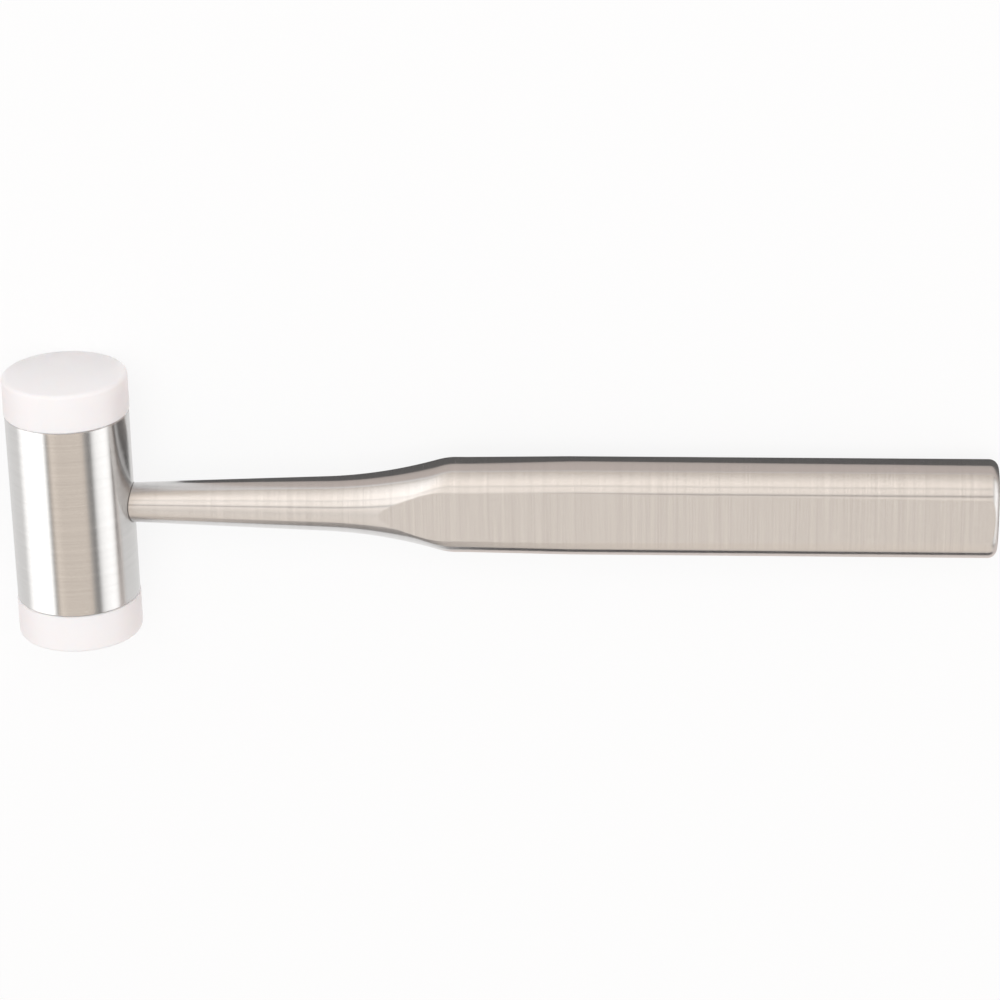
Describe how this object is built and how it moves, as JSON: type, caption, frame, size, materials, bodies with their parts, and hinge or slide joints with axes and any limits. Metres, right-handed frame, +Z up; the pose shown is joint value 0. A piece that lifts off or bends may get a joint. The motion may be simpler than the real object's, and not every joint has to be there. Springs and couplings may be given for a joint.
{
  "type": "surgical mallet",
  "caption": "Surgical mallet with a round stainless barrel, white nylon striking caps that unscrew, and a slender neck that flares into a flat-sided oval steel grip.",
  "frame": {"origin": "middle of the footprint of the lying mallet, on the surface it lies on", "axes": "+X along the handle from the head to the butt, +Y along the head towards the right striking cap, +Z up; the mallet lies on its side"},
  "size_m": [0.2132, 0.0602, 0.027],
  "materials": {
    "barrel_steel": "satin, turned round the barrel",
    "handle_steel": "satin, brushed across the grip",
    "cap_nylon": "smooth milky white"
  },
  "bodies": {
    "mallet": {"head_barrel": "barrel_steel", "handle": "handle_steel"},
    "right_cap": {"right_striking_cap": "cap_nylon"},
    "left_cap": {"left_striking_cap": "cap_nylon"}
  },
  "joints": [
    {"name": "right_cap_removal", "type": "slide", "parent": "mallet", "child": "right_cap", "axis": [0, 1, 0], "range_m": [0, 0.014]},
    {"name": "left_cap_removal", "type": "slide", "parent": "mallet", "child": "left_cap", "axis": [0, -1, 0], "range_m": [0, 0.014]}
  ]
}
